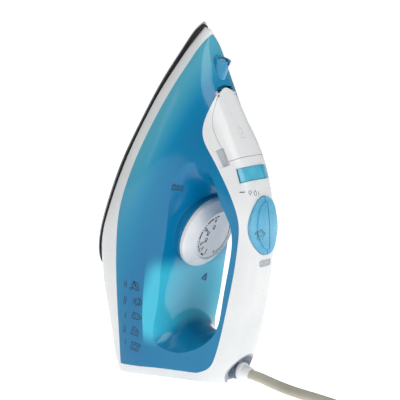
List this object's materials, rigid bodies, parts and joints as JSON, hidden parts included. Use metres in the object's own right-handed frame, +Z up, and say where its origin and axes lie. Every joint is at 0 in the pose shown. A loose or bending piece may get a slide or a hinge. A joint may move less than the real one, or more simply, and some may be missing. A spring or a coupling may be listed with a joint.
{
  "type": "clothes iron",
  "caption": "Steam iron standing on its heel, with a translucent blue water tank, white handle, round temperature dial, steam slider, two push buttons and a mains cord with plug.",
  "frame": {"origin": "on the floor, in the middle of the heel's rest face", "axes": "+Z up along the standing iron towards its tip, +X from the soleplate towards the handle, +Y to the user's right when ironing"},
  "size_m": [0.4674, 0.1188, 0.2949],
  "materials": {
    "sole_metal": "satin",
    "cast_aluminium": "cast",
    "heater_metal": "dull",
    "screw_steel": "bright",
    "brass": "satin",
    "gasket_rubber": "matt",
    "seal_silicone": "matt",
    "black_plastic": "matt",
    "white_plastic": "gloss",
    "grey_plastic": "matt",
    "tank_blue": "translucent gloss",
    "liner_blue": "gloss",
    "button_blue": "gloss",
    "lens_grey": "frosted",
    "lamp_glass": "clear",
    "cord_rubber": "matt",
    "plug_plastic": "matt",
    "wire_sleeve": "matt"
  },
  "bodies": {
    "root": {"soleplate": "sole_metal", "heater_casting": "cast_aluminium", "heating_element": "heater_metal", "chamber_gasket": "gasket_rubber", "chamber_cover": "cast_aluminium", "cover_screws": "screw_steel", "thermostat": "heater_metal", "thermal_fuse": "heater_metal", "skirt": "white_plastic", "heel_cover": "white_plastic", "heel_screws": "screw_steel", "water_tank": "tank_blue", "handle_liner": "liner_blue", "handle_shell": "white_plastic", "filler": "grey_plastic", "spray_nozzle": "button_blue", "nozzle_tip": "grey_plastic", "dial_collar": "liner_blue", "valve_seat": "seal_silicone", "needle_guide": "grey_plastic", "pump_hoses": "seal_silicone", "lamp_lens": "lens_grey", "pilot_lamp": "lamp_glass", "terminal_block": "black_plastic", "wiring": "wire_sleeve", "gland_cup": "liner_blue", "burst_pump": "grey_plastic", "spray_pump": "grey_plastic", "power_cord": "cord_rubber", "cord_tail": "cord_rubber", "cord_coil": "cord_rubber", "cord_tie": "black_plastic", "plug_body": "plug_plastic", "plug_pins": "brass"},
    "dial": {"temperature_dial": "white_plastic", "dial_spindle": "black_plastic"},
    "slider": {"steam_slider": "button_blue"},
    "needle": {"valve_needle": "brass"},
    "burst": {"burst_button": "button_blue", "burst_piston": "grey_plastic", "burst_spring": "screw_steel"},
    "spray": {"spray_button": "button_blue", "spray_piston": "grey_plastic", "spray_spring": "screw_steel"},
    "lid": {"fill_lid": "white_plastic", "lid_seal": "seal_silicone"},
    "gland": {"cord_swivel": "grey_plastic"}
  },
  "joints": [
    {"name": "dial_turn", "type": "hinge", "parent": "root", "child": "dial", "pos_m": [0.02159, 0, 0.11968], "axis": [0.9336, 0, -0.3584], "range_deg": [0, 270]},
    {"name": "steam_slide", "type": "hinge", "parent": "root", "child": "slider", "pos_m": [0.03526, 0, 0.16358], "axis": [-0.342, 0, 0.9397], "range_deg": [0, 18]},
    {"name": "valve_lift", "type": "slide", "parent": "root", "child": "needle", "axis": [0.9336, 0, -0.3584], "range_m": [0, 0.0021]},
    {"name": "burst_press", "type": "slide", "parent": "root", "child": "burst", "axis": [-0.9976, 0, -0.0698], "range_m": [0, 0.003], "stiffness_N_per_m": 500, "springref_m": -0.002},
    {"name": "spray_press", "type": "slide", "parent": "root", "child": "spray", "axis": [-0.9976, 0, -0.0698], "range_m": [0, 0.003], "stiffness_N_per_m": 500, "springref_m": -0.002},
    {"name": "lid_open", "type": "hinge", "parent": "root", "child": "lid", "pos_m": [0.03552, 0, 0.23761], "axis": [0, -1, 0], "range_deg": [0, 75]},
    {"name": "gland_turn", "type": "hinge", "parent": "root", "child": "gland", "pos_m": [0.0425, 0, 0.008], "axis": [1, 0, 0], "range_deg": [-180, 180]}
  ],
  "couplings": [
    {"joint": "valve_lift", "follows": "steam_slide", "m_per_rad": 0.006366}
  ]
}
